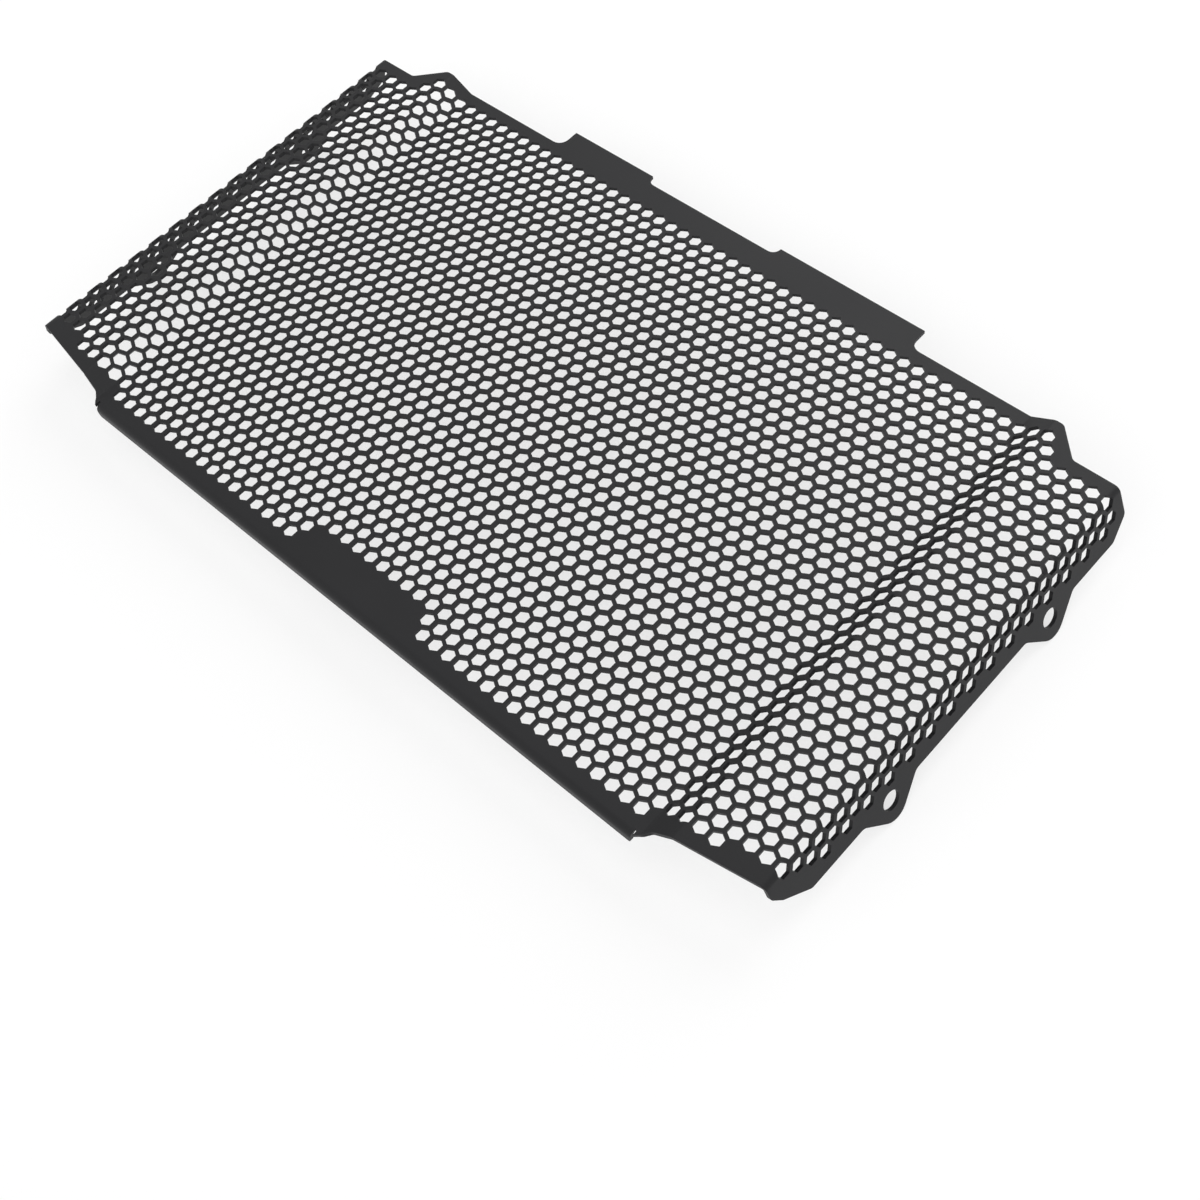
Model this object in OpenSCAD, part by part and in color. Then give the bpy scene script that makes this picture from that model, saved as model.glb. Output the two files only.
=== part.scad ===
// Radiator guard: one sheet of aluminium, perforated with hexagons, cut flat and folded.
// The middle of the sheet is a shallow tray between two raised wings. A flange with two
// fixing ears is folded down at each end, and a short lip runs along the lower edge.
// X runs along the guard and Y up its face. Z is the front. It rests on its four ears.

/* [Sheet] */
// Thickness of the aluminium sheet
sheet_t = 1.5; // [1:0.1:2]
// Inside radius of every fold
bend_r = 1.5; // [1:0.1:2.5]

/* [Tray and wings] */
// Flat width of the tray, between the two steps
tray_w = 291.5; // [288:0.5:300]
// Height of the wings over the tray
step_rise = 5.7; // [4:0.1:8]
// Slope of the step between tray and wing
step_angle = 30; // [20:1:45]
// Flat width of each wing
wing_w = 31; // [26:0.5:36]

/* [End flanges] */
// Angle at which each flange turns down from its wing
flange_angle = 70; // [60:1:85]
// Flat width of each flange
flange_w = 17.3; // [16:0.1:20]
// Width of the cut at the flange's upper corner
high_cut_w = 6.5; // [4:0.1:9]
// Height of the cut at the flange's upper corner
high_cut_h = 9; // [5:0.1:12]
// Width of the steep cut at the flange's lower corner
low_cut_w = 7.8; // [5:0.1:9]
// Height of the steep cut at the flange's lower corner
low_cut_h = 11.3; // [8:0.1:14]
// Width of the shallow cut beside it
low_bevel_w = 4.7; // [3:0.1:6]
// Height of the shallow cut beside it
low_bevel_h = 3.9; // [2:0.1:5]

/* [Ears] */
// Reach of each ear past the flange's edge
ear_reach = 10.5; // [9:0.5:14]
// Width of each ear where it leaves the flange
ear_w = 28; // [24:1:34]
// Radius of the ear's tip
ear_r = 7; // [5:0.5:8]
// Radius of the hollow on each side of an ear
ear_fillet = 3; // [1:0.5:5]
// Distance between the two ears of a flange
ear_spacing = 90; // [70:1:110]
// Diameter of the fixing hole in each ear
ear_hole_d = 8; // [5:0.1:8.5]
// Distance of the fixing hole from the ear's tip
ear_hole_inset = 9.3; // [8:0.1:10.5]

/* [Upper edge] */
// Height of the sheet to the top of its two tabs, from the outside of the lip
sheet_h = 227; // [215:1:240]
// Width of the sheet over both tabs
tabs_w = 183; // [170:1:196]
// Drop from the tabs to the shoulders
tab_drop = 9.6; // [7:0.1:12]
// Radius of the hollow between a tab and its shoulder
tab_fillet = 4.5; // [2:0.5:6]
// Left end of the recess between the tabs, from the middle of the guard
recess_left = 47.5; // [38:0.5:56]
// Right end of the recess between the tabs, from the middle of the guard
recess_right = 21; // [10:0.5:30]
// Depth of the recess between the tabs
recess_depth = 3.8; // [2:0.1:5]
// Radius of the hollow at each end of the recess
recess_fillet = 3.6; // [0.5:0.1:4]
// Width of the sheet over its shoulders
shoulder_w = 322; // [314:1:326]
// Drop from the shoulders to the top edge of the wings
shoulder_drop = 11.2; // [9:0.1:14]
// Radius of the corners at the shoulders and flanges
corner_r = 2.5; // [1:0.1:3]

/* [Lower edge] */
// Width of the lip along the lower edge
lip_w = 286.6; // [278:0.2:288]
// Depth of the lip, from the front of the sheet
lip_depth = 6; // [5:0.1:9]
// Radius of the lower corner at each end of the lip
lip_corner_r = 1.6; // [0.5:0.1:2]
// Width of the slit that parts each end of the lip from the sheet beside it
slit_w = 0.8; // [0.5:0.1:2]
// Width of the slanted cut beside each end of the lip
slant_w = 6; // [3:0.1:8]
// Height of the slanted cut beside each end of the lip
slant_h = 5.2; // [4:0.1:7]
// Height of the lower edge at the flange, from the outside of the lip
wing_low = 12.4; // [10:0.1:15]

/* [Hexagonal holes] */
// Distance between neighbouring holes of a row
hole_pitch = 13; // [12.5:0.1:15]
// Distance between two rows
row_pitch = 11.4; // [11:0.1:13]
// Size of a hole across its flats
hole_af = 10; // [8:0.1:10.5]
// Least bare sheet above and below the holes
hole_margin = 3; // [2.5:0.1:5]
// Bare sheet between the top row and the shoulders
top_border = 4.4; // [4:0.1:8]
// Bare sheet between the holes and the flange's edge
end_border = 5; // [4:0.1:7]
// Width of the bare patch in the middle of the lower border
patch_w = 58; // [40:1:80]
// Height of the bare patch, from the outside of the lip
patch_h = 16; // [14:0.1:24]

/* [Hidden] */

// Flat steps that draw a fold or a round corner of 90 degrees
round_steps = 6;
// Reach of a hole's cutter past the skin of the sheet, and of an outline past the sheet
cut_skin = 0.65;
over = 20;
// Overlap of the lip's own leg with the tray
lip_root = 2;

outer_r = bend_r + sheet_t;
mid_r = bend_r + sheet_t / 2;
step_w = (step_rise - 2 * mid_r * (1 - cos(step_angle))) / sin(step_angle);

// Each flat of the right half: its width, and the angle of the fold that follows it
flats = [
    [tray_w / 2, step_angle],
    [step_w, -step_angle],
    [wing_w, -flange_angle],
    [flange_w + ear_reach, 0]
];
tray = 0;
step = tray + 1;
wing = step + 1;
flange = wing + 1;

// A frame holds the distance along the sheet, x, z and slope
function flat_end(f, w) = [f[0] + w, f[1] + w * cos(f[3]), f[2] + w * sin(f[3]), f[3]];
function fold_end(f, a) = [
    f[0] + mid_r * abs(a) * PI / 180,
    f[1] + sign(a) * mid_r * (sin(f[3] + a) - sin(f[3])),
    f[2] - sign(a) * mid_r * (cos(f[3] + a) - cos(f[3])),
    f[3] + a
];
function start(k) = k == 0 ? [0, 0, 0, 0] : fold_end(end(k - 1), flats[k - 1][1]);
function end(k) = flat_end(start(k), flats[k][0]);

// Frames along the right half, at the ends of each flat and in steps round each fold
section = [
    for (k = [tray:flange])
        let (a = flats[k][1], n = max(1, ceil(abs(a) / 90 * round_steps)))
            for (i = [0:a == 0 ? 0 : n]) fold_end(end(k), a * i / n)
];

// Point on the front of the sheet (side 1) or on its back (side -1)
function skin(f, side) = [
    f[1] - side * sheet_t / 2 * sin(f[3]),
    f[2] + side * sheet_t / 2 * cos(f[3])
];
function mirrored(points) = [for (p = points) [-p[0], p[1]]];
function reversed(points) = [for (i = [len(points) - 1:-1:0]) points[i]];

// Points of a path whose corners [x, y, r] are rounded to radius r
function rounded(path) = [
    for (i = [0:len(path) - 1])
        let (p = path[i], n = len(path))
            each p[2] == 0 ? [xy(p)] : corner(xy(path[(i + n - 1) % n]), xy(p), xy(path[(i + 1) % n]), p[2])
];
function xy(p) = [p[0], p[1]];
function unit(v) = v / norm(v);
function corner(a, b, c, r) =
    let (
        u = unit(a - b),
        v = unit(c - b),
        half = acos(u * v) / 2,
        turn = 180 - 2 * half,
        mid = b + unit(u + v) * r / sin(half),
        from = b + u * r / tan(half) - mid,
        to = b + v * r / tan(half) - mid,
        n = ceil(turn / 90 * round_steps)
    )
        [for (i = [0:n]) mid + (sin(turn * (1 - i / n)) * from + sin(turn * i / n) * to) / sin(turn)];

// Distances along the sheet, from its middle
flange_s = start(flange)[0];
edge_s = flange_s + flange_w;
tip_s = edge_s + ear_reach;
// x at a distance along the sheet, between the middle and the flange
function plan_x(s) = lookup(s, [for (f = concat([start(tray)], section)) [f[0], f[1]]]);

// Heights above the outside of the lip
shoulder_y = sheet_h - tab_drop;
wing_top_y = shoulder_y - shoulder_drop;
ears_y = [sheet_h / 2 - ear_spacing / 2, sheet_h / 2 + ear_spacing / 2];

// Height at which the straight sides of an ear would meet, over the flange's edge
ear_half = ear_w / 2;
ear_mid = ear_reach - ear_r;
ear_apex = ear_half * (ear_half * ear_mid + ear_r * sqrt(pow(ear_half, 2) + pow(ear_mid, 2) - pow(ear_r, 2)))
    / (pow(ear_half, 2) - pow(ear_r, 2));

// Corners of one end on the flat sheet, each a distance along it, a height and a radius
low_corners = [
    [flange_s, wing_low, 0],
    [edge_s - low_cut_w - low_bevel_w, wing_low, corner_r],
    [edge_s - low_cut_w, wing_low + low_bevel_h, corner_r],
    [edge_s, wing_low + low_bevel_h + low_cut_h, corner_r]
];
high_corners = [
    [edge_s, wing_top_y - high_cut_h, corner_r],
    [edge_s - high_cut_w, wing_top_y, corner_r],
    [flange_s, wing_top_y, 0]
];

// Lower and upper limits of the holes: distance from the middle, and height
low_limit = concat([[lip_w / 2, 0], [lip_w / 2 + slit_w, slant_h]], [for (p = low_corners) xy(p)]);
high_limit = concat(
    [[shoulder_w / 2, shoulder_y], [shoulder_w / 2 + shoulder_drop, wing_top_y]],
    [for (p = reversed(high_corners)) xy(p)]
);

hole_r = hole_af / 2 / cos(30);
top_row_y = shoulder_y - top_border - hole_r;
rows = floor(top_row_y / row_pitch);
columns = ceil(edge_s / hole_pitch);

// Is the sheet wide enough for a hole at this distance and height?
function has_hole(s, y) =
    let (far = abs(s) + hole_af / 2, near = abs(s) - hole_af / 2)
        y - hole_r >= lookup(far, low_limit) + hole_margin
        && y + hole_r <= lookup(far, high_limit) - hole_margin
        && far <= edge_s - end_border
        && (near >= patch_w / 2 || y - hole_r >= patch_h);

// Centres of all the holes on the flat sheet
hole_centres = [
    for (i = [0:rows], j = [-columns:columns])
        let (s = (j + (1 - i % 2) / 2) * hole_pitch, y = top_row_y - i * row_pitch)
            if (has_hole(s, y)) [s, y]
];

// Height of the middle of the tray's sheet over the tips of the ears
tray_z = sheet_t / 2 * cos(flange_angle) - end(flange)[2];

// Children drawn on the flat pattern, cut through flat k of the right half
module cut_flat(k) {
    f = start(k);
    translate([f[1], 0, f[2]])
        rotate([0, -f[3], 0])
            translate([-f[0], 0, -sheet_t / 2 - cut_skin])
                linear_extrude(sheet_t + 2 * cut_skin)
                    children();
}

// Children on the right half, and their mirror image on the left
module both_ends() {
    children();
    mirror([1, 0, 0]) children();
}

module hexagons(centres) {
    for (c = centres)
        translate(c) rotate(30) circle(r = hole_r, $fn = 6);
}

// Holes of the grille in flat k. Those that lie across a fold are cut from both of its sides.
module grille(k) {
    before = k == tray ? step_angle : abs(flats[k - 1][1]);
    after = abs(flats[k][1]);
    low = k == tray ? -end(tray)[0] : start(k)[0];
    high = end(k)[0];
    // The flat and half of each fold beside it
    fold_low = low - mid_r * before * PI / 360;
    fold_high = high + mid_r * after * PI / 360;
    // The flat up to the outer corner of each fold
    corner_low = low - outer_r * tan(before / 2);
    corner_high = high + outer_r * tan(after / 2);
    reach = hole_af / 2;
    near = [for (c = hole_centres) if (c[0] + reach > fold_low && c[0] - reach < fold_high) c];
    across = [for (c = near) if (c[0] - reach < low || c[0] + reach > high) c];
    cut_flat(k) {
        hexagons([for (c = near) if (c[0] - reach >= low && c[0] + reach <= high) c]);
        if (len(across) > 0)
            intersection() {
                hexagons(across);
                translate([corner_low, 0]) square([corner_high - corner_low, sheet_h]);
            }
    }
}

// The sheet as a folded band, before its outline is cut
module folded_band() {
    front = [for (f = section) skin(f, 1)];
    back = [for (f = section) skin(f, -1)];
    right = concat(front, reversed(back));
    translate([0, sheet_h, 0])
        rotate([90, 0, 0])
            linear_extrude(sheet_h)
                polygon(concat(right, reversed(mirrored(right))));
}

// Section of the lip and of the fold above it, with y to the right
module lip_section() {
    translate([outer_r, sheet_t / 2 - outer_r])
        intersection() {
            difference() {
                circle(r = outer_r);
                circle(r = bend_r);
            }
            translate([-outer_r, 0]) square(outer_r);
        }
    translate([0, sheet_t / 2 - lip_depth]) square([sheet_t, lip_depth - outer_r]);
    translate([outer_r, -sheet_t / 2]) square([lip_root, sheet_t]);
}

module lip() {
    low = sheet_t / 2 - lip_depth;
    intersection() {
        translate([-lip_w / 2 - over, 0, 0])
            rotate([90, 0, 90])
                linear_extrude(lip_w + 2 * over)
                    lip_section();
        // The lip seen from below the guard, with its ends and their round corners
        rotate([90, 0, 0])
            linear_extrude(2 * over, center = true)
                polygon(rounded([
                    [-lip_w / 2, over, 0],
                    [-lip_w / 2, low, lip_corner_r],
                    [lip_w / 2, low, lip_corner_r],
                    [lip_w / 2, over, 0]
                ]));
    }
}

// Outline of tray and wings, seen from the front
module front_outline() {
    far_x = plan_x(tip_s) + over;
    fold_x = plan_x(flange_s);
    shoulder_x = plan_x(shoulder_w / 2);
    wing_x = plan_x(shoulder_w / 2 + shoulder_drop);
    slant_x = lip_w / 2 + slant_w;
    slit_x = lip_w / 2 + slit_w;
    slit_y = slant_h * slit_w / slant_w;
    polygon(rounded([
        [-far_x, wing_top_y, 0],
        [-wing_x, wing_top_y, corner_r],
        [-shoulder_x, shoulder_y, corner_r],
        [-tabs_w / 2, shoulder_y, tab_fillet],
        [-tabs_w / 2, sheet_h, 0],
        [-recess_left, sheet_h, 0],
        [-recess_left, sheet_h - recess_depth, recess_fillet],
        [recess_right, sheet_h - recess_depth, recess_fillet],
        [recess_right, sheet_h, 0],
        [tabs_w / 2, sheet_h, 0],
        [tabs_w / 2, shoulder_y, tab_fillet],
        [shoulder_x, shoulder_y, corner_r],
        [wing_x, wing_top_y, corner_r],
        [far_x, wing_top_y, 0],
        [far_x, wing_low, 0],
        [fold_x, wing_low, 0],
        [slant_x, slant_h, corner_r],
        [slit_x, slit_y, 0],
        [slit_x, outer_r, 0],
        [-slit_x, outer_r, 0],
        [-slit_x, slit_y, 0],
        [-slant_x, slant_h, corner_r],
        [-fold_x, wing_low, 0],
        [-far_x, wing_low, 0]
    ]));
}

// Outline of the right flange and its ears on the flat sheet
module flange_outline() {
    ear_corners = [
        for (y = ears_y)
            each [
                [edge_s, y - ear_half, ear_fillet],
                [edge_s + ear_apex, y, ear_r],
                [edge_s, y + ear_half, ear_fillet]
            ]
    ];
    polygon(rounded(concat(
        [[flange_s - over, wing_low, 0]],
        low_corners,
        ear_corners,
        high_corners,
        [[flange_s - over, wing_top_y, 0]]
    )));
}

module flange_waste() {
    cut_flat(flange)
        difference() {
            translate([flange_s, -over]) square([tip_s - flange_s + over, sheet_h + 2 * over]);
            flange_outline();
        }
}

module ear_holes() {
    for (y = ears_y)
        cut_flat(flange)
            translate([tip_s - ear_hole_inset, y]) circle(d = ear_hole_d);
}

module blank() {
    difference() {
        intersection() {
            folded_band();
            linear_extrude(4 * over, center = true) front_outline();
        }
        both_ends() flange_waste();
    }
    lip();
}

module guard() {
    color([0.13, 0.13, 0.135])
        translate([0, -sheet_h / 2, tray_z])
            difference() {
                blank();
                grille(tray);
                both_ends() {
                    grille(step);
                    grille(wing);
                    grille(flange);
                    ear_holes();
                }
            }
}

guard();
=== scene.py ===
import math

import bmesh
import bpy
from mathutils import Euler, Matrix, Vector


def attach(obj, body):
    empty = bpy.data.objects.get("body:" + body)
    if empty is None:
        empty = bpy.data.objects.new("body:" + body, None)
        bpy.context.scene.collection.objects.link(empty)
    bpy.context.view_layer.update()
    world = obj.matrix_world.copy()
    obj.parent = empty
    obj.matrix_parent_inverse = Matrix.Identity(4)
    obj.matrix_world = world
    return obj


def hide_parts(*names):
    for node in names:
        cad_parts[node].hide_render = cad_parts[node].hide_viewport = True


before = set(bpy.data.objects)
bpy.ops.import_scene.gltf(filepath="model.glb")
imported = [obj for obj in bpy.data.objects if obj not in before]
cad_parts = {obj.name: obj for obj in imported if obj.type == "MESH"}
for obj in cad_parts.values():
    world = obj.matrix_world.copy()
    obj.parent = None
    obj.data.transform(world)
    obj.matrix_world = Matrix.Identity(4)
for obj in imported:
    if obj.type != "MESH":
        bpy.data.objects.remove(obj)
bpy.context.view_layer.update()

# The sheet. The guard starts as one flat blank of 1.5 mm aluminium, cut round its outline on a
# laser. Here it lies flat, in millimetres: s runs along the sheet from its middle, and y up from
# the outside of the lip. The outline is drawn with sharp corners, which are then rounded.
MM = 0.001
SHEET_T = 1.5
BEND_R = 1.5
OUTER_R = BEND_R + SHEET_T
MID_R = BEND_R + SHEET_T / 2

TRAY_W = 291.5
STEP_RISE = 5.7
STEP_TURN = math.radians(30)
STEP_W = (STEP_RISE - 2 * MID_R * (1 - math.cos(STEP_TURN))) / math.sin(STEP_TURN)
WING_W = 31.0
FLANGE_TURN = math.radians(70)
FLANGE_W = 17.3
EAR_REACH = 10.5
# Each flat of the right half: its width, and the turn of the fold that follows it
FLATS = [
    (TRAY_W / 2, STEP_TURN),
    (STEP_W, -STEP_TURN),
    (WING_W, -FLANGE_TURN),
    (FLANGE_W + EAR_REACH, 0.0),
]
FLANGE_S = sum(width + MID_R * abs(turn) for width, turn in FLATS[:3])
EDGE_S = FLANGE_S + FLANGE_W

# Corners of the right half, each s, y and radius. The lower edge runs from the lip, past the slit
# and the slanted cut at its end, to the two cuts at the corner of the flange.
CORNER_R = 2.5
LIP_W = 286.6
LIP_DEPTH = 6.0
LIP_CORNER_R = 1.6
LIP_ARC = MID_R * math.pi / 2
LIP_END_Y = OUTER_R - LIP_ARC - (LIP_DEPTH - OUTER_R)
SLIT_W = 0.8
SLANT_W = 6.0
SLANT_H = 5.2
WING_LOW_Y = 12.4
LOW_BEVEL_W = 4.7
LOW_BEVEL_H = 3.9
LOW_CUT_W = 7.8
LOW_CUT_H = 11.3
LOWER_EDGE = [
    (LIP_W / 2, LIP_END_Y, LIP_CORNER_R),
    (LIP_W / 2, OUTER_R, 0),
    (LIP_W / 2 + SLIT_W, OUTER_R, 0),
    (LIP_W / 2 + SLIT_W, SLANT_H * SLIT_W / SLANT_W, 0),
    (LIP_W / 2 + SLANT_W, SLANT_H, CORNER_R),
    (FLANGE_S, WING_LOW_Y, 0),
    (EDGE_S - LOW_CUT_W - LOW_BEVEL_W, WING_LOW_Y, CORNER_R),
    (EDGE_S - LOW_CUT_W, WING_LOW_Y + LOW_BEVEL_H, CORNER_R),
    (EDGE_S, WING_LOW_Y + LOW_BEVEL_H + LOW_CUT_H, CORNER_R),
]

SHEET_H = 227.0
EAR_SPACING = 90.0
EAR_HEIGHTS = (SHEET_H / 2 - EAR_SPACING / 2, SHEET_H / 2 + EAR_SPACING / 2)
EAR_HALF_W = 14.0
EAR_R = 7.0
EAR_FILLET = 3.0
# Where the straight sides of an ear would meet, past the edge of the flange
EAR_MID = EAR_REACH - EAR_R
EAR_APEX = (
    EAR_HALF_W * (EAR_HALF_W * EAR_MID + EAR_R * math.sqrt(EAR_HALF_W**2 + EAR_MID**2 - EAR_R**2))
    / (EAR_HALF_W**2 - EAR_R**2)
)
EARS = [
    corner
    for y in EAR_HEIGHTS
    for corner in (
        (EDGE_S, y - EAR_HALF_W, EAR_FILLET),
        (EDGE_S + EAR_APEX, y, EAR_R),
        (EDGE_S, y + EAR_HALF_W, EAR_FILLET),
    )
]

TABS_W = 183.0
TAB_DROP = 9.6
TAB_FILLET = 4.5
SHOULDER_W = 322.0
SHOULDER_DROP = 11.2
SHOULDER_Y = SHEET_H - TAB_DROP
WING_HIGH_Y = SHOULDER_Y - SHOULDER_DROP
HIGH_CUT_W = 6.5
HIGH_CUT_H = 9.0
UPPER_EDGE = [
    (EDGE_S, WING_HIGH_Y - HIGH_CUT_H, CORNER_R),
    (EDGE_S - HIGH_CUT_W, WING_HIGH_Y, CORNER_R),
    (SHOULDER_W / 2 + SHOULDER_DROP, WING_HIGH_Y, CORNER_R),
    (SHOULDER_W / 2, SHOULDER_Y, CORNER_R),
    (TABS_W / 2, SHOULDER_Y, TAB_FILLET),
    (TABS_W / 2, SHEET_H, 0),
]

# The recess between the tabs lies off the middle of the sheet
RECESS_LEFT_S = -47.5
RECESS_RIGHT_S = 21.0
RECESS_DEPTH = 3.8
RECESS_FILLET = 3.6
RECESS = [
    (RECESS_RIGHT_S, SHEET_H, 0),
    (RECESS_RIGHT_S, SHEET_H - RECESS_DEPTH, RECESS_FILLET),
    (RECESS_LEFT_S, SHEET_H - RECESS_DEPTH, RECESS_FILLET),
    (RECESS_LEFT_S, SHEET_H, 0),
]
right_half = LOWER_EDGE + EARS + UPPER_EDGE
outline = right_half + RECESS + [(-s, y, r) for s, y, r in reversed(right_half)]

CORNER_SEGMENTS = 6
blank = bmesh.new()
corners = [blank.verts.new((s, y, 0)) for s, y, r in outline]
blank.faces.new(corners)
for i, (s, y, r) in enumerate(outline):
    if r == 0:
        continue
    here = Vector((s, y))
    before = (Vector(outline[i - 1][:2]) - here).normalized()
    after = (Vector(outline[(i + 1) % len(outline)][:2]) - here).normalized()
    setback = r / math.tan(before.angle(after) / 2)
    bmesh.ops.bevel(
        blank, geom=[corners[i]], offset=setback, segments=CORNER_SEGMENTS, profile=0.5, material=-1,
        affect="VERTICES"
    )
bmesh.ops.delete(blank, geom=blank.faces[:], context="FACES_ONLY")

# The two holes in the ears of each end, for 6 mm screws with collars
EAR_HOLE_R = 4.0
EAR_HOLE_INSET = 9.3
EAR_HOLE_SEGMENTS = 28
for side in (-1, 1):
    for y in EAR_HEIGHTS:
        ring = bmesh.ops.create_circle(
            blank, cap_ends=False, radius=EAR_HOLE_R, segments=EAR_HOLE_SEGMENTS
        )
        centre = Vector((side * (EDGE_S + EAR_REACH - EAR_HOLE_INSET), y, 0))
        bmesh.ops.translate(blank, verts=ring["verts"], vec=centre)
edges_to_fill = blank.edges[:]

# The grille. Hexagonal holes of 5 mm across flats, punched in the flat sheet in staggered rows,
# 6.5 mm apart, which leaves straight webs as wide as the sheet is thick. The rows keep a border
# along every edge, and leave a patch bare in the middle of the lower border.
HOLE_PITCH = 6.5
ROW_PITCH = 5.56
HOLE_AF = 5.0
WEB = HOLE_PITCH - HOLE_AF
ROWS = 37
TOP_ROW_Y = 210.1
# The border and the patch reach to the middles of the holes beside them
EDGE_BORDER = 6.2
PATCH_HALF_W = 32.0
PATCH_H = 19.0


def depth_inside(point):
    """Distance from a point of the blank to its outline, in millimetres, and less than 0 outside it"""
    nearest = (math.inf, 0)
    for i in range(len(outline)):
        a = Vector(outline[i - 1][:2])
        b = Vector(outline[i][:2])
        along = max(0.0, min(1.0, (point - a).dot(b - a) / (b - a).length_squared))
        side = (b - a).cross(point - a)
        nearest = min(nearest, ((a.lerp(b, along) - point).length, side))
    return math.copysign(*nearest)


# Each hole has a cell of its own, out to the middle of the webs round it. The cells touch, and
# the space between them and the outline is filled before they are inset and opened.
CELL_R = HOLE_PITCH / 2 / math.cos(math.pi / 6)
ROW_STRETCH = ROW_PITCH / (HOLE_PITCH * math.cos(math.pi / 6))
TOUCHING = 0.01
columns = math.ceil(EDGE_S / HOLE_PITCH)
for row in range(ROWS):
    stagger = 0.5 if row % 2 == 0 else 0.0
    for column in range(-columns, columns + 1):
        centre = Vector(((column + stagger) * HOLE_PITCH, TOP_ROW_Y - row * ROW_PITCH))
        in_patch = abs(centre.x) < PATCH_HALF_W and centre.y < PATCH_H
        past_flange = abs(centre.x) > EDGE_S - EDGE_BORDER
        if in_patch or past_flange or depth_inside(centre) < EDGE_BORDER:
            continue
        cell = bmesh.ops.create_circle(blank, cap_ends=True, radius=CELL_R, segments=6)
        bmesh.ops.scale(blank, verts=cell["verts"], vec=(1, ROW_STRETCH, 1))
        bmesh.ops.translate(blank, verts=cell["verts"], vec=(centre.x, centre.y, 0))
bmesh.ops.remove_doubles(blank, verts=blank.verts[:], dist=TOUCHING)
cells = blank.faces[:]
edges_to_fill += [edge for edge in blank.edges if len(edge.link_faces) == 1]
bmesh.ops.triangle_fill(
    blank, use_beauty=True, use_dissolve=False, edges=edges_to_fill, normal=(0, 0, 1)
)
bmesh.ops.inset_individual(blank, faces=cells, thickness=WEB / 2, depth=0, use_even_offset=True)
bmesh.ops.delete(blank, geom=cells, context="FACES_ONLY")

# The sheet gets its thickness, and the laser's edges a small break, which the coating rounds
EDGE_BREAK = 0.2
bmesh.ops.recalc_face_normals(blank, faces=blank.faces[:])
bmesh.ops.translate(blank, verts=blank.verts[:], vec=(0, 0, -SHEET_T / 2))
grown = bmesh.ops.extrude_face_region(blank, geom=blank.faces[:])
front_verts = [item for item in grown["geom"] if isinstance(item, bmesh.types.BMVert)]
bmesh.ops.translate(blank, verts=front_verts, vec=(0, 0, SHEET_T))
bmesh.ops.recalc_face_normals(blank, faces=blank.faces[:])
blank.normal_update()


def is_rim(edge):
    """Does the edge lie between a face of the sheet and a cut wall?"""
    flat = [abs(face.normal.z) > 0.5 for face in edge.link_faces]
    return len(flat) == 2 and flat[0] != flat[1]


rims = [edge for edge in blank.edges if is_rim(edge)]
bmesh.ops.bevel(
    blank, geom=rims, offset=EDGE_BREAK, segments=1, profile=0.5, material=-1, affect="EDGES",
    clamp_overlap=True
)

# The folds, made in a press brake: a step up to each wing, the end flanges, and the lip along
# the lower edge. The flat blank is scored across at each fold, and every point is then carried
# round to its place on the folded sheet.
STEPS_PER_RIGHT_ANGLE = 6
ON_THE_LINE = 0.0001


def score(along, place):
    """Cuts the blank across at one distance, so that it can bend there"""
    bmesh.ops.bisect_plane(
        blank, geom=blank.verts[:] + blank.edges[:] + blank.faces[:], dist=ON_THE_LINE,
        plane_co=[place * a for a in along], plane_no=along
    )


def flat_steps(turn):
    """Number of flat steps in a fold of this turn"""
    return max(2, round(abs(turn) / (math.pi / 2) * STEPS_PER_RIGHT_ANGLE))


s = 0.0
for width, turn in FLATS[:3]:
    s += width
    arc = MID_R * abs(turn)
    for i in range(flat_steps(turn) + 1):
        for side in (-1, 1):
            score((1, 0, 0), side * (s + arc * i / flat_steps(turn)))
    s += arc
for i in range(STEPS_PER_RIGHT_ANGLE + 1):
    score((0, 1, 0), OUTER_R - LIP_ARC * i / STEPS_PER_RIGHT_ANGLE)


def along_section(s):
    """x, z and slope of the middle of the folded sheet, at a distance s > 0 along it"""
    x = z = slope = 0.0
    for width, turn in FLATS:
        run = min(s, width)
        x += run * math.cos(slope)
        z += run * math.sin(slope)
        s -= run
        if s <= 0 or turn == 0:
            break
        part = math.copysign(min(s / MID_R, abs(turn)), turn)
        sign = math.copysign(1, turn)
        x += sign * MID_R * (math.sin(slope + part) - math.sin(slope))
        z -= sign * MID_R * (math.cos(slope + part) - math.cos(slope))
        slope += part
        s -= MID_R * abs(part)
        if s <= 0:
            break
    return x, z, slope


def fold(co):
    """Place on the folded guard of a point of the flat blank"""
    if co.y < OUTER_R and abs(co.x) < LIP_W / 2 + SLIT_W / 2:
        turned = min((OUTER_R - co.y) / MID_R, math.pi / 2)
        below = max(0.0, OUTER_R - co.y - LIP_ARC)
        r = MID_R + co.z
        return Vector((co.x, OUTER_R - r * math.sin(turned), r * math.cos(turned) - MID_R - below))
    side = math.copysign(1, co.x)
    x, z, slope = along_section(abs(co.x))
    return Vector((side * (x - co.z * math.sin(slope)), co.y, z + co.z * math.cos(slope)))


# The guard rests on the tips of its ears, with the middle of its outline at the origin
TOO_SHORT = 0.000001
_, tip_z, tip_slope = along_section(EDGE_S + EAR_REACH)
tray_z = SHEET_T / 2 * math.cos(tip_slope) - tip_z
for vert in blank.verts:
    vert.co = (fold(vert.co) + Vector((0, -SHEET_H / 2, tray_z))) * MM
bmesh.ops.dissolve_degenerate(blank, edges=blank.edges[:], dist=TOO_SHORT)
bmesh.ops.recalc_face_normals(blank, faces=blank.faces[:])

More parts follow.
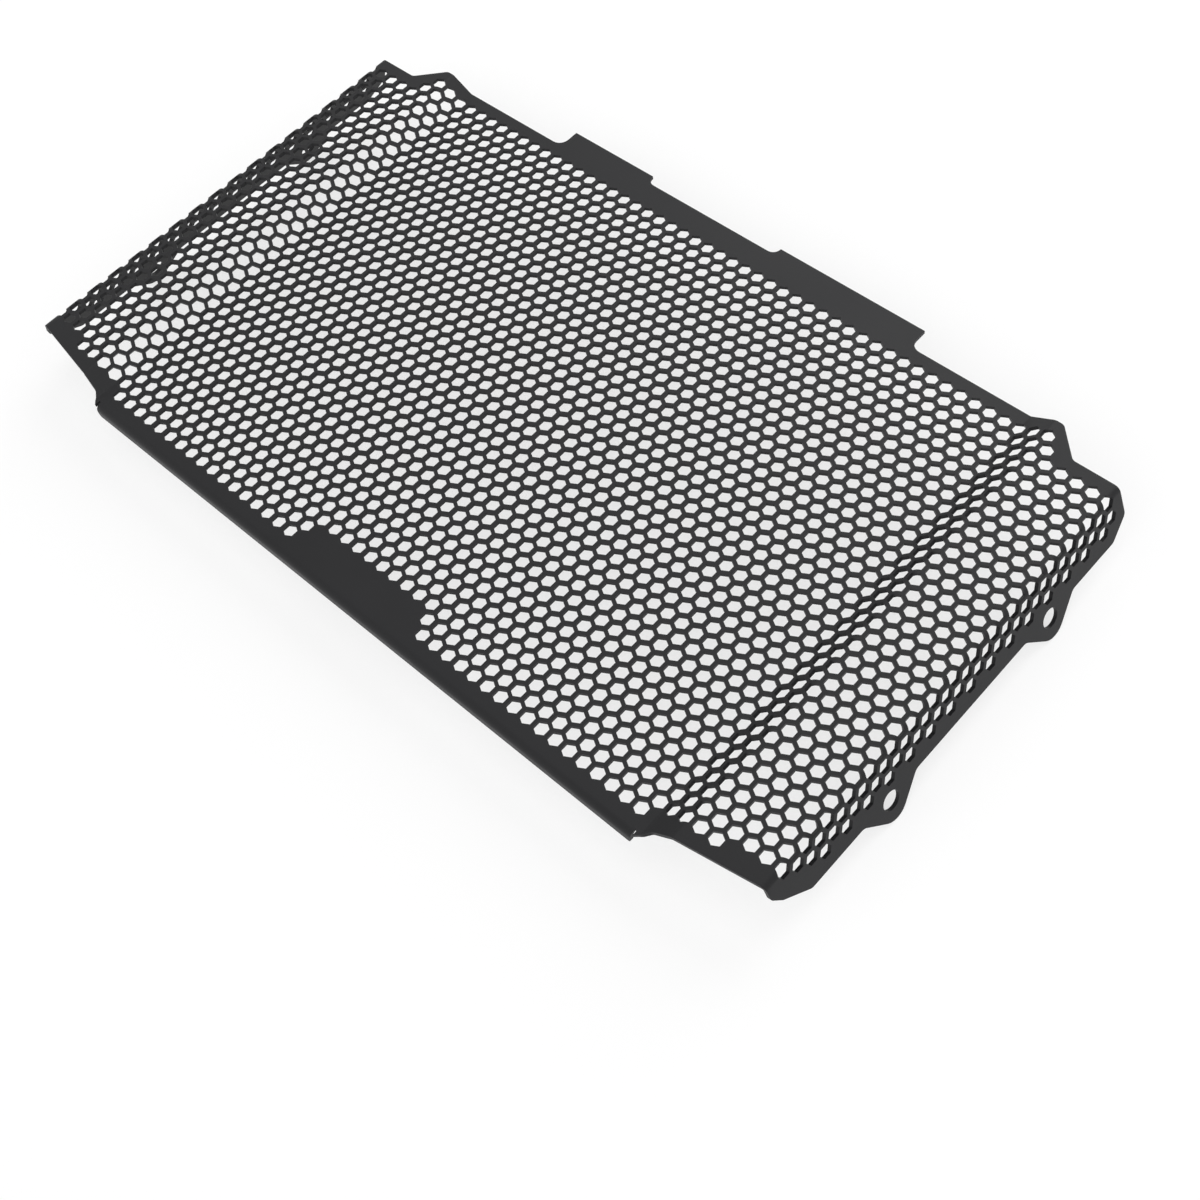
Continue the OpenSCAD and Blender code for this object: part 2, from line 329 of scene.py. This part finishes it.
SHARP_TURN = math.radians(35)
sheet = bpy.data.meshes.new("perforated_sheet")
blank.to_mesh(sheet)
blank.free()
sheet.polygons.foreach_set("use_smooth", [True] * len(sheet.polygons))
sheet.set_sharp_from_angle(angle=SHARP_TURN)
guard = bpy.data.objects.new("perforated_sheet", sheet)
bpy.context.scene.collection.objects.link(guard)
weighting = guard.modifiers.new("flat_faces_stay_flat", "WEIGHTED_NORMAL")
weighting.keep_sharp = True
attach(guard, "root")
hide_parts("guard")

# The finish. Satin black powder coat, sprayed as a dry polyester powder and baked on: it flows
# out to a soft skin with a fine pebbled grain, gathers a little unevenly, and stays matt enough
# to show no clear reflection.
THIN_FILM = "#151516"
THICK_FILM = "#1e1e20"


def srgb(code):
    """Linear colour of an sRGB hex value"""
    parts = [int(code[i:i + 2], 16) / 255 for i in (1, 3, 5)]
    return [p / 12.92 if p <= 0.04045 else ((p + 0.055) / 1.055) ** 2.4 for p in parts] + [1.0]


def add_node(tree, kind, links=None, **settings):
    """Adds a node. Settings name its properties, or with in_ its sockets, and links feed sockets"""
    node = tree.nodes.new(kind)
    for name, value in settings.items():
        if name.startswith("in_"):
            key = name[3:]
            node.inputs[int(key) if key.isdigit() else key.replace("_", " ")].default_value = value
        else:
            setattr(node, name, value)
    for socket, source in (links or {}).items():
        tree.links.new(source, node.inputs[socket])
    return node


coat = bpy.data.materials.new("satin_black_powder_coated_aluminium")
coat.use_nodes = True
tree = coat.node_tree
tree.nodes.clear()
place = add_node(tree, "ShaderNodeTexCoord").outputs["Object"]
# Grain of the baked powder, 0.9 mm from crest to crest
pebble = add_node(
    tree, "ShaderNodeTexNoise", {"Vector": place}, in_Scale=1100.0, in_Detail=2.0, in_Roughness=0.5
).outputs["Fac"]
bump = add_node(tree, "ShaderNodeBump", {"Height": pebble}, in_Strength=0.25, in_Distance=0.00006)
# Slow drift of the film's thickness, over about 45 mm
drift = add_node(
    tree, "ShaderNodeTexNoise", {"Vector": place}, in_Scale=22.0, in_Detail=3.0, in_Roughness=0.55
).outputs["Fac"]
colour = add_node(
    tree, "ShaderNodeMix", {"Factor": drift}, data_type="RGBA", in_6=srgb(THIN_FILM), in_7=srgb(THICK_FILM)
)
gloss = add_node(
    tree, "ShaderNodeMapRange", {"Value": drift},
    in_From_Min=0.3, in_From_Max=0.7, in_To_Min=0.42, in_To_Max=0.52
)
shader = add_node(
    tree, "ShaderNodeBsdfPrincipled",
    {"Base Color": colour.outputs[2], "Roughness": gloss.outputs[0], "Normal": bump.outputs["Normal"]},
    in_Metallic=0.0, in_IOR=1.3
)
add_node(tree, "ShaderNodeOutputMaterial", {"Surface": shader.outputs[0]})
sheet.materials.append(coat)

# The table is plain white board, wide enough to fill the picture. It keeps a soft shadow of the
# guard, thinned by a share of plain white where it is seen as the background.
TABLE_HALF_W = 6.0
BACKGROUND_WHITE = 0.68


def background_rays(tree):
    """1 for the rays that show the background: straight to the camera, or by way of metal or glass"""
    rays = add_node(tree, "ShaderNodeLightPath").outputs
    seen = add_node(
        tree, "ShaderNodeMath", {0: rays["Is Camera Ray"], 1: rays["Is Glossy Ray"]}, operation="ADD"
    ).outputs[0]
    return add_node(
        tree, "ShaderNodeMath", {0: seen, 1: rays["Is Transmission Ray"]}, operation="ADD", use_clamp=True
    ).outputs[0]


table_mesh = bpy.data.meshes.new("table")
top = bmesh.new()
bmesh.ops.create_grid(top, x_segments=1, y_segments=1, size=TABLE_HALF_W)
top.to_mesh(table_mesh)
top.free()
table = bpy.data.objects.new("table", table_mesh)
bpy.context.scene.collection.objects.link(table)
board = bpy.data.materials.new("matt_white_board")
board.use_nodes = True
tree = board.node_tree
tree.nodes.clear()
matt = add_node(tree, "ShaderNodeBsdfDiffuse", in_Color=srgb("#f4f4f4"))
white = add_node(tree, "ShaderNodeEmission", in_Strength=1.0)
share = add_node(
    tree, "ShaderNodeMath", {0: background_rays(tree)}, operation="MULTIPLY", in_1=BACKGROUND_WHITE
)
mixed = add_node(
    tree, "ShaderNodeMixShader", {0: share.outputs[0], 1: matt.outputs[0], 2: white.outputs[0]}
)
add_node(tree, "ShaderNodeOutputMaterial", {"Surface": mixed.outputs[0]})
table_mesh.materials.append(board)

# The light. A room lights the table from its right wall and its front wall, behind the camera.
# To the camera, and where the coat mirrors it, the room is plain white. A large soft box stands
# beyond the guard's upper edge, and a weak one hangs overhead.
world = bpy.data.worlds.new("white_room")
world.use_nodes = True
tree = world.node_tree
tree.nodes.clear()
direction = add_node(tree, "ShaderNodeTexCoord").outputs["Generated"]
sides = add_node(tree, "ShaderNodeSeparateXYZ", {0: direction}).outputs
right_wall = add_node(
    tree, "ShaderNodeMapRange", {"Value": sides["X"]},
    in_From_Min=0.15, in_From_Max=1.0, in_To_Min=0.08, in_To_Max=1.4
)
front_wall = add_node(
    tree, "ShaderNodeMapRange", {"Value": sides["Y"]},
    in_From_Min=-1.0, in_From_Max=0.0, in_To_Min=2.4, in_To_Max=0.0
)
walls = add_node(
    tree, "ShaderNodeMath", {0: right_wall.outputs[0], 1: front_wall.outputs[0]}, operation="ADD"
)
room = add_node(tree, "ShaderNodeBackground", {"Strength": walls.outputs[0]}, in_Color=srgb("#ffffff"))
backdrop = add_node(tree, "ShaderNodeBackground", in_Color=srgb("#ffffff"), in_Strength=1.0)
mixed = add_node(
    tree, "ShaderNodeMixShader", {0: background_rays(tree), 1: room.outputs[0], 2: backdrop.outputs[0]}
)
add_node(tree, "ShaderNodeOutputWorld", {"Surface": mixed.outputs[0]})
bpy.context.scene.world = world


def soft_box(name, at, width, watts):
    """Hangs a square lamp that faces the guard"""
    light = bpy.data.lights.new(name, "AREA")
    light.shape = "SQUARE"
    light.size = width
    light.energy = watts
    lamp = bpy.data.objects.new(name, light)
    lamp.location = at
    lamp.rotation_euler = (-Vector(at)).to_track_quat("-Z", "Y").to_euler()
    bpy.context.scene.collection.objects.link(lamp)


soft_box("far_soft_box", at=(-0.2, 1.75, 1.17), width=2.0, watts=29)
soft_box("overhead_soft_box", at=(0.0, 0.0, 2.2), width=1.0, watts=5)

# The camera looks down on the lower right corner of the guard, as in the photograph. Its place
# and lens come from a fit to the rows of holes.
CAMERA_PLACE = (0.32037, -0.24166, 0.51304)
CAMERA_TURN_DEG = (31.671, 6.214, 42.517)
lens = bpy.data.cameras.new("camera")
lens.sensor_fit = "HORIZONTAL"
lens.sensor_width = 36.0
lens.lens = 49.28
camera = bpy.data.objects.new("camera", lens)
camera.location = CAMERA_PLACE
camera.rotation_euler = Euler([math.radians(angle) for angle in CAMERA_TURN_DEG], "XYZ")
bpy.context.scene.collection.objects.link(camera)
bpy.context.scene.camera = camera
bpy.context.scene.view_settings.view_transform = "Standard"
